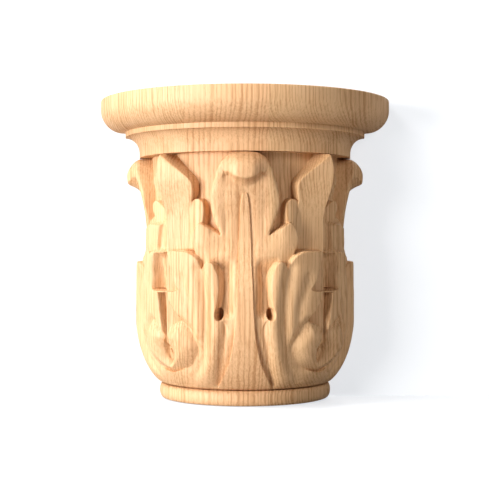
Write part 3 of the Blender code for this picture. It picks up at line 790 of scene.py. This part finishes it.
def repeating_tree():
    """Adds the mirror image of the quarter, and lets the surface stray as a carver's hand does."""
    tree = bpy.data.node_groups.new("leaves round the bell", "GeometryNodeTree")
    given, result = sockets(
        tree,
        [("Quarter", "NodeSocketGeometry", None), ("Wander", "NodeSocketFloat", 0.0),
         ("Seed", "NodeSocketFloat", 3.0), ("Oak", "NodeSocketMaterial", None)],
        [("Capital", "NodeSocketGeometry")])
    other = add(tree, "GeometryNodeTransform",
                {"Geometry": given["Quarter"], "Scale": (-1.0, 1.0, 1.0)})
    other = add(tree, "GeometryNodeFlipFaces", {"Mesh": other.outputs[0]})
    half = add(tree, "GeometryNodeJoinGeometry")
    tree.links.new(given["Quarter"], half.inputs[0])
    tree.links.new(other.outputs[0], half.inputs[0])
    merged = add(tree, "GeometryNodeMergeByDistance",
                 {"Geometry": half.outputs[0], "Distance": MERGE})
    place = add(tree, "GeometryNodeInputPosition").outputs[0]
    outward = add(tree, "ShaderNodeVectorMath", {0: place, 1: (1.0, 1.0, 0.0)},
                  operation="MULTIPLY").outputs[0]
    outward = add(tree, "ShaderNodeVectorMath", {0: outward}, operation="NORMALIZE").outputs[0]
    noise = add(tree, "ShaderNodeTexNoise",
                {"Vector": place, "W": given["Seed"], "Scale": WANDER_SCALE, "Detail": 1.0},
                noise_dimensions="4D")
    stray = maths(tree, "SUBTRACT", noise.outputs[0], NOISE_MIDDLE[0])
    stray = maths(tree, "MULTIPLY", stray, given["Wander"])
    stray = maths(tree, "MULTIPLY", stray,
                  add(tree, "GeometryNodeInputNamedAttribute", {"Name": "hand"},
                      data_type="FLOAT").outputs["Attribute"])
    shift = add(tree, "ShaderNodeVectorMath", {0: outward, "Scale": stray}, operation="SCALE")
    moved = add(tree, "GeometryNodeSetPosition",
                {"Geometry": merged.outputs[0], "Offset": shift.outputs[0]})
    seated = add(tree, "GeometryNodeTransform",
                 {"Geometry": moved.outputs[0], "Translation": (0.0, AXIS_Y, 0.0)})
    return deliver(tree, seated.outputs[0], given["Oak"], result.inputs["Capital"])


def applied(thing):
    """An object's mesh with its modifiers applied. The object is used up."""
    bpy.context.scene.collection.objects.link(thing)
    graph = bpy.context.evaluated_depsgraph_get()
    mesh = bpy.data.meshes.new_from_object(thing.evaluated_get(graph))
    bpy.data.objects.remove(thing)
    return mesh


def evaluated(thing, tree, values):
    """Run a tree on an object and give back its result as a plain mesh."""
    modifier = thing.modifiers.new(tree.name, "NODES")
    modifier.node_group = tree
    for socket in tree.interface.items_tree:
        if socket.in_out == "INPUT" and socket.name in values:
            modifier[socket.identifier] = values[socket.name]
    return applied(thing)


def turned(profile, steps, tree, oak):
    """A quarter of a turn of a profile."""
    mesh = bpy.data.meshes.new("profile")
    mesh.from_pydata([(x, 0.0, z) for x, z in profile],
                     [(i, i + 1) for i in range(len(profile) - 1)], [])
    thing = bpy.data.objects.new("profile", mesh)
    return evaluated(thing, tree, {"Steps": steps, "Sweep": math.radians(SECTOR), "Oak": oak})


def carve(mesh, mouldings, carving):
    """Move the plain bell's points to the carving, and mark its parts and where a hand may stray."""
    place = np.empty(len(mesh.vertices) * 3)
    mesh.vertices.foreach_get("co", place)
    place = place.reshape(-1, 3)
    turn = np.arctan2(place[:, 0], -place[:, 1])
    foot = place[:, 2].min()
    carved_height = place[:, 2].max() - foot
    height = (place[:, 2] - foot) / carved_height
    radius = Relief(carving, carved_height, np.degrees(turn), height).radius()
    place[:, 0] = radius * np.sin(turn)
    place[:, 1] = -radius * np.cos(turn)
    mesh.vertices.foreach_set("co", place.ravel())
    aside = np.minimum(turn, math.radians(SECTOR) - turn)
    level = np.minimum(height, 1.0 - height)
    inside = (aside > BORDER_WIDTH) & (level > BORDER_WIDTH)
    for name, marks in (("part", np.where(inside, INSIDE, BORDER)),
                        ("hand", np.clip(level / HAND_FADE, 0.0, 1.0))):
        mesh.attributes.new(name, "FLOAT", "POINT").data.foreach_set(
            "value", marks.astype(np.float32))


def ring(edit, level, part, radius=None):
    """The points of a part at a height, and at a radius if one is given, in order round."""
    mark = edit.verts.layers.float["part"]
    row = [point for point in edit.verts
           if abs(point.co.z - level) < MERGE and point[mark] == part
           and (radius is None or abs(point.co.xy.length - radius) < 10.0 * MERGE)]
    return sorted(row, key=lambda point: math.atan2(point.co.x, -point.co.y))


def carved_quarter(mouldings, carving, oak):
    """The turned mouldings and the carved bell between them, as one open sheet."""
    tree = turning_tree()
    profiles = abacus_profile(mouldings), bead_profile(mouldings)
    bell = turned(bell_profile(mouldings, carving), MOULDING_STEPS * FINE_STEPS, tree, oak)
    carve(bell, mouldings, carving)
    edit = bmesh.new()
    edit.from_mesh(bell)
    for profile in profiles:
        edit.from_mesh(turned(profile, MOULDING_STEPS, tree, oak))
    for radius, level in (profiles[0][-1], profiles[1][0]):
        coarse = ring(edit, level, TURNED, radius)
        fine = ring(edit, level, BORDER)
        for step in range(MOULDING_STEPS):
            span = fine[step * FINE_STEPS:(step + 1) * FINE_STEPS + 1]
            edit.faces.new([coarse[step], coarse[step + 1], *reversed(span)])
    mesh = bpy.data.meshes.new("quarter")
    edit.to_mesh(mesh)
    edit.free()
    return bpy.data.objects.new("quarter", mesh)


def thinned(quarter, kept):
    """Take away points where the carving is smooth. The mouldings and the border stay."""
    mesh = quarter.data
    part = np.empty(len(mesh.vertices), dtype=np.float32)
    mesh.attributes["part"].data.foreach_get("value", part)
    group = quarter.vertex_groups.new(name="inside")
    group.add(np.flatnonzero(part == INSIDE).tolist(), 1.0, "REPLACE")
    mesh.calc_loop_triangles()
    thin = quarter.modifiers.new("thin", "DECIMATE")
    thin.vertex_group = group.name
    thin.ratio = kept / len(mesh.loop_triangles)
    return bpy.data.objects.new("quarter", applied(quarter))


def close_back(mesh):
    """Close the open half at the wall plane with one flat face of the second material."""
    edit = bmesh.new()
    edit.from_mesh(mesh)
    rim = [edge for edge in edit.edges if edge.is_boundary]
    for face in bmesh.ops.holes_fill(edit, edges=rim, sides=0)["faces"]:
        face.material_index = 1
    bmesh.ops.recalc_face_normals(edit, faces=edit.faces)
    edit.to_mesh(mesh)
    edit.free()


def add_capital(mouldings, carving, wood):
    """The whole capital as one piece that stands for the solid of the frame."""
    group = oak_group(stave_group(), grain_group())
    carved, sawn = carved_oak(wood, group), sawn_oak(wood, group)
    quarter = thinned(carved_quarter(mouldings, carving, carved), carving.triangles)
    mesh = evaluated(quarter, repeating_tree(), {"Wander": carving.wander, "Oak": carved})
    mesh.materials.append(sawn)
    close_back(mesh)
    mesh.shade_smooth()
    mesh.set_sharp_from_angle(angle=math.radians(SHARP_ANGLE))
    mesh.name = "carved_capital"
    piece = bpy.data.objects.new("carved_capital", mesh)
    bpy.context.scene.collection.objects.link(piece)
    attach(piece, BODY)
    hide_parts(NODE)
    return piece


def blended(tree, share, first, second, mode="MIX"):
    """A colour between two, by a share and in a way of mixing."""
    return add(tree, "ShaderNodeMix", {0: share, 6: first, 7: second}, data_type="RGBA",
               blend_type=mode).outputs[2]


def spread(tree, value, least, most, low=0.0, high=1.0, shape="LINEAR"):
    """A value's range spread over another range, and held inside it."""
    return add(tree, "ShaderNodeMapRange",
               {"Value": value, "From Min": least, "From Max": most, "To Min": low,
                "To Max": high}, interpolation_type=shape).outputs[0]


def vectors(tree, operation, first, second):
    """A Vector Math node's result. A scale takes a number as its second value."""
    key = "Scale" if operation == "SCALE" else 1
    return add(tree, "ShaderNodeVectorMath", {0: first, key: second},
               operation=operation).outputs[0]


def stave_group():
    """The boards that the block is glued from: the heart of each one's log, and its tone."""
    tree = bpy.data.node_groups.new("glued staves", "ShaderNodeTree")
    given, result = sockets(
        tree, [("Place", "NodeSocketVector", None)],
        [("Heart", "NodeSocketVector"), ("Ring Spacing", "NodeSocketFloat"),
         ("Tone", "NodeSocketColor")])
    across = add(tree, "ShaderNodeSeparateXYZ", {0: given["Place"]}).outputs["X"]
    share = spread(tree, across, LOWEST.x, HIGHEST.x)

    def ramp(values):
        """One constant value for each stave."""
        node = add(tree, "ShaderNodeValToRGB", {"Fac": share})
        node.color_ramp.interpolation = "CONSTANT"
        stops = node.color_ramp.elements
        while len(stops) < len(values):
            stops.new(0.5)
        for stop, edge, value in zip(stops, (LOWEST.x, *STAVE_JOINTS), values):
            stop.position = (edge - LOWEST.x) / (HIGHEST.x - LOWEST.x)
            stop.color = (*value, 1.0)
        return node.outputs["Color"]

    logs = ramp([(0.5 + 0.5 * x / HEART_REACH, 0.5 + 0.5 * y / HEART_REACH, spacing / RING_MOST)
                 for x, y, spacing in STAVE_LOGS])
    parts = add(tree, "ShaderNodeSeparateColor", {0: logs}).outputs
    heart = add(tree, "ShaderNodeCombineXYZ",
                {"X": spread(tree, parts[0], 0.0, 1.0, -HEART_REACH, HEART_REACH),
                 "Y": spread(tree, parts[1], 0.0, 1.0, -HEART_REACH, HEART_REACH)})
    plug(tree, result, {"Heart": heart.outputs[0], "Tone": ramp(STAVE_TONES),
                        "Ring Spacing": maths(tree, "MULTIPLY", parts[2], RING_MOST)})
    return tree


def grain_group():
    """Grain of one log: rings round its heart, fine fibres, open pores, and slow clouds of tone."""
    tree = bpy.data.node_groups.new("oak grain", "ShaderNodeTree")
    given, result = sockets(
        tree,
        [("Place", "NodeSocketVector", None), ("Heart", "NodeSocketVector", None),
         ("Ring Spacing", "NodeSocketFloat", 0.0024), ("Fibre Width", "NodeSocketFloat", 0.0007),
         ("Pore Length", "NodeSocketFloat", 0.003)],
        [("Ring", "NodeSocketFloat"), ("Fibre", "NodeSocketFloat"), ("Pores", "NodeSocketFloat"),
         ("Cloud", "NodeSocketFloat")])
    in_log = vectors(tree, "ADD", given["Place"], given["Heart"])

    def noise(wide, tall, detail, output=0):
        """Noise with patches this wide and this tall, that differs from log to log."""
        across = maths(tree, "DIVIDE", 1.0, wide)
        scale = add(tree, "ShaderNodeCombineXYZ",
                    {"X": across, "Y": across, "Z": maths(tree, "DIVIDE", 1.0, tall)}).outputs[0]
        return add(tree, "ShaderNodeTexNoise",
                   {"Vector": vectors(tree, "MULTIPLY", in_log, scale), "Scale": 1.0,
                    "Detail": detail}).outputs[output]

    swayed = given["Place"]
    for patch, most in ((SWAY_PATCH, RING_SWAY), (WAVER_PATCH, RING_WAVER)):
        shift = vectors(tree, "SUBTRACT", noise(*patch, 1.0, "Color"), NOISE_MIDDLE)
        swayed = vectors(tree, "ADD", swayed, vectors(tree, "SCALE", shift, most))
    from_heart = vectors(tree, "SUBTRACT", swayed, given["Heart"])
    from_heart = vectors(tree, "MULTIPLY", from_heart, (1.0, 1.0, 0.0))
    reach = add(tree, "ShaderNodeVectorMath", {0: from_heart},
                operation="LENGTH").outputs["Value"]
    years = maths(tree, "DIVIDE", reach, given["Ring Spacing"])
    drift = add(tree, "ShaderNodeTexNoise",
                {"W": maths(tree, "MULTIPLY", years, YEAR_DRIFT_RATE), "Scale": 1.0, "Detail": 1.0},
                noise_dimensions="1D")
    years = maths(tree, "ADD", years, maths(tree, "MULTIPLY", drift.outputs[0], YEAR_DRIFT))
    growth = maths(tree, "FRACT", years)
    early = maths(tree, "MAXIMUM",
                  spread(tree, growth, 0.0, EARLY_ENDS, 1.0, 0.0, "SMOOTHERSTEP"),
                  spread(tree, growth, EARLY_STARTS, 1.0))
    open_from = spread(tree, early, 0.0, 1.0, *PORE_OPENS)
    pores = spread(tree, noise(PORE_WIDTH, given["Pore Length"], 1.0), open_from,
                   maths(tree, "ADD", open_from, PORE_EDGE))
    plug(tree, result, {"Ring": early, "Fibre": noise(given["Fibre Width"], FIBRE_LENGTH, 3.0),
                        "Pores": pores, "Cloud": noise(*CLOUD_PATCH, 2.0)})
    return tree


def oak_group(staves, grain):
    """Colour and fine height of oak at a place in the glued block."""
    tree = bpy.data.node_groups.new("oak wood", "ShaderNodeTree")
    given, result = sockets(
        tree,
        [("Place", "NodeSocketVector", None), ("Late Wood", "NodeSocketColor", None),
         ("Early Wood", "NodeSocketColor", None), ("Pore", "NodeSocketColor", None),
         ("Fibre Width", "NodeSocketFloat", 0.0007), ("Pore Length", "NodeSocketFloat", 0.003)],
        [("Color", "NodeSocketColor"), ("Height", "NodeSocketFloat"),
         ("Openness", "NodeSocketFloat")])
    log = add(tree, "ShaderNodeGroup", {"Place": given["Place"]}, node_tree=staves).outputs
    wood = add(tree, "ShaderNodeGroup",
               {"Place": given["Place"], "Heart": log["Heart"], "Ring Spacing": log["Ring Spacing"],
                "Fibre Width": given["Fibre Width"], "Pore Length": given["Pore Length"]},
               node_tree=grain).outputs
    uneven = spread(tree, wood["Cloud"], *CLOUD_SPAN, *RING_TINT)
    share = maths(tree, "MULTIPLY", wood["Ring"], uneven)
    for name, span in (("Fibre", FIBRE_TINT), ("Cloud", CLOUD_TINT)):
        share = maths(tree, "ADD", share, spread(tree, wood[name], *NOISE_SPAN, *span))
    tint = blended(tree, share, given["Late Wood"], given["Early Wood"])
    tint = blended(tree, maths(tree, "MULTIPLY", wood["Pores"], PORE_TINT), tint, given["Pore"])
    tint = blended(tree, 1.0, tint, log["Tone"], "MULTIPLY")
    fibres = maths(tree, "MULTIPLY", wood["Fibre"], FIBRE_HEIGHT)
    plug(tree, result, {"Color": tint, "Height": maths(tree, "SUBTRACT", fibres, wood["Pores"]),
                        "Openness": share})
    return tree


def new_material(name):
    """An empty node material with a Principled shader at its output."""
    material = bpy.data.materials.new(name)
    material.use_nodes = True
    tree = material.node_tree
    return material, tree, tree.nodes["Principled BSDF"]


def oak_material(name, wood, group):
    """Oak with its grain's colour, and what a finish needs: tree, shader, the grain's outputs."""
    material, tree, shader = new_material(name)
    oak = add(tree, "ShaderNodeGroup",
              {"Place": add(tree, "ShaderNodeTexCoord").outputs["Object"],
               "Late Wood": (*wood.late_wood, 1.0), "Early Wood": (*wood.early_wood, 1.0),
               "Pore": (*wood.pore, 1.0), "Fibre Width": wood.fibre_width,
               "Pore Length": wood.pore_length}, node_tree=group).outputs
    smooth, rough = (wood.roughness + change for change in ROUGHNESS_SPAN)
    plug(tree, shader, {"Specular IOR Level": GLOSS,
                        "Roughness": spread(tree, oak["Openness"], 0.0, 1.0, smooth, rough)})
    return material, tree, shader, oak


def carved_oak(wood, group):
    """Carved and sanded oak."""
    material, tree, shader, oak = oak_material("carved_oak", wood, group)
    bump = add(tree, "ShaderNodeBump", {"Height": oak["Height"], **CARVED_BUMP})
    plug(tree, shader, {"Base Color": oak["Color"], "Normal": bump.outputs[0]})
    return material


def sawn_oak(wood, group):
    """The flat back as the saw left it, with fine level strokes."""
    material, tree, shader, oak = oak_material("sawn_oak", wood, group)
    place = add(tree, "ShaderNodeTexCoord").outputs["Object"]
    level = add(tree, "ShaderNodeSeparateXYZ", {0: place}).outputs["Z"]
    uneven = add(tree, "ShaderNodeTexNoise",
                 {"Vector": place, "Scale": SAW_WAVER_SCALE, "Detail": 2.0}).outputs[0]
    stroke = maths(tree, "ADD", maths(tree, "MULTIPLY", level, math.tau / SAW_PITCH),
                   maths(tree, "MULTIPLY", uneven, SAW_WAVER))
    stroke = spread(tree, maths(tree, "SINE", stroke), -1.0, 1.0)
    tint = blended(tree, maths(tree, "MULTIPLY", stroke, SAW_TINT), oak["Color"],
                   (*wood.early_wood, 1.0))
    height = maths(tree, "ADD", oak["Height"], maths(tree, "MULTIPLY", stroke, SAW_HEIGHT))
    bump = add(tree, "ShaderNodeBump", {"Height": height, **SAWN_BUMP})
    plug(tree, shader, {"Base Color": tint, "Normal": bump.outputs[0]})
    return material


def panel(name, corners, material):
    """A flat sheet of the stage with its front on the side that its corners run round."""
    mesh = bpy.data.meshes.new(name)
    mesh.from_pydata(corners, [], [(0, 1, 2, 3)])
    mesh.materials.append(material)
    sheet = bpy.data.objects.new(name, mesh)
    bpy.context.scene.collection.objects.link(sheet)
    return sheet


def backdrop_paper(studio):
    """Paper that shows from its front alone, and glows a little so that it stays white."""
    material, tree, shader = new_material("backdrop_paper")
    seen = add(tree, "ShaderNodeLightPath").outputs["Is Camera Ray"]
    plug(tree, shader, {"Base Color": (*studio.paper, 1.0), "Roughness": 1.0,
                        "Emission Color": GLOW_COLOUR,
                        "Emission Strength": maths(tree, "MULTIPLY", seen, studio.glow)})
    behind = add(tree, "ShaderNodeNewGeometry").outputs["Backfacing"]
    clear = add(tree, "ShaderNodeBsdfTransparent").outputs[0]
    sided = add(tree, "ShaderNodeMixShader", {0: behind, 1: shader.outputs[0], 2: clear})
    plug(tree, tree.nodes["Material Output"], {"Surface": sided.outputs[0]})
    return material


def lamp(name, power, bearing, climb):
    """A square lamp aimed at the capital: degrees round from the front and above the level."""
    light = bpy.data.lights.new(name, "AREA")
    light.energy = power
    light.size = LAMP_SIZE
    thing = bpy.data.objects.new(name, light)
    bpy.context.scene.collection.objects.link(thing)
    around, above = math.radians(bearing), math.radians(climb)
    away = Vector((math.sin(around) * math.cos(above), -math.cos(around) * math.cos(above),
                   math.sin(above)))
    thing.location = Vector((0.0, 0.0, CAMERA_HEIGHT)) + away * LAMP_DISTANCE
    thing.rotation_euler = away.to_track_quat("Z", "Y").to_euler()


def add_stage(studio):
    """Floor, backdrop, lamps, sky and the camera."""
    scene = bpy.context.scene
    half = STAGE_WIDTH / 2.0
    paper = backdrop_paper(studio)
    level = LOWEST.z - STAGE_GAP
    floor = panel("floor", [(-half, -half, level), (half, -half, level), (half, half, level),
                            (-half, half, level)], paper)
    back = AXIS_Y + STAGE_GAP
    wall = panel("backdrop", [(-half, back, level), (half, back, level), (half, back, half),
                              (-half, back, half)], paper)
    for sheet in (floor, wall):
        sheet.visible_shadow = False
    for name, (bearing, climb) in LAMPS.items():
        lamp(name, getattr(studio, name), bearing, climb)
    world = bpy.data.worlds.new("studio")
    scene.world = world
    world.use_nodes = True
    tree = world.node_tree
    seen = add(tree, "ShaderNodeLightPath").outputs["Is Camera Ray"]
    plug(tree, tree.nodes["Background"],
         {"Color": WHITE, "Strength": spread(tree, seen, 0.0, 1.0, studio.sky, studio.horizon)})
    camera = bpy.data.cameras.new("camera")
    camera.sensor_width = SENSOR_WIDTH
    camera.lens = SENSOR_WIDTH * FOCAL_PIXELS / IMAGE_WIDTH
    view = bpy.data.objects.new("camera", camera)
    view.location = (0.0, -CAMERA_DISTANCE, CAMERA_HEIGHT)
    view.rotation_euler = (math.radians(90.0), 0.0, 0.0)
    scene.collection.objects.link(view)
    scene.camera = view
    scene.view_settings.view_transform = "Standard"
    scene.view_settings.look = "Medium High Contrast"


class CAPITAL_OT_carve(bpy.types.Operator):
    """Turn the block and carve the capital's leaves"""

    bl_idname = "capital.carve"
    bl_label = "Carve the capital"
    bl_options = {"REGISTER", "UNDO"}

    def execute(self, context):
        scene = context.scene
        add_capital(scene.capital_mouldings, scene.capital_carving, scene.capital_oak)
        return {"FINISHED"}


class CAPITAL_OT_stage(bpy.types.Operator):
    """Set up the floor, the backdrop, the lamps and the camera"""

    bl_idname = "capital.stage"
    bl_label = "Set the stage"
    bl_options = {"REGISTER", "UNDO"}

    def execute(self, context):
        add_stage(context.scene.capital_studio)
        return {"FINISHED"}


class CAPITAL_PT_sidebar(bpy.types.Panel):
    """Sizes, colours and steps of the capital"""

    bl_idname = "CAPITAL_PT_sidebar"
    bl_label = "Carved capital"
    bl_space_type = "VIEW_3D"
    bl_region_type = "UI"
    bl_category = "Capital"

    def draw(self, context):
        for step, group in ((CAPITAL_OT_carve, "capital_mouldings"), (None, "capital_carving"),
                            (None, "capital_oak"), (CAPITAL_OT_stage, "capital_studio")):
            if step:
                self.layout.operator(step.bl_idname)
            values = getattr(context.scene, group)
            for name in values.__annotations__:
                self.layout.prop(values, name)


GROUPS = {
    "capital_mouldings": CapitalMouldings,
    "capital_carving": CapitalCarving,
    "capital_oak": CapitalOak,
    "capital_studio": CapitalStudio,
}
CLASSES = (*GROUPS.values(), CAPITAL_OT_carve, CAPITAL_OT_stage, CAPITAL_PT_sidebar)


def register():
    for kind in CLASSES:
        bpy.utils.register_class(kind)
    for name, kind in GROUPS.items():
        setattr(bpy.types.Scene, name, PointerProperty(type=kind))


def unregister():
    for name in GROUPS:
        delattr(bpy.types.Scene, name)
    for kind in reversed(CLASSES):
        bpy.utils.unregister_class(kind)


def main():
    register()
    bpy.ops.capital.carve()
    bpy.ops.capital.stage()


if __name__ == "__main__":
    main()
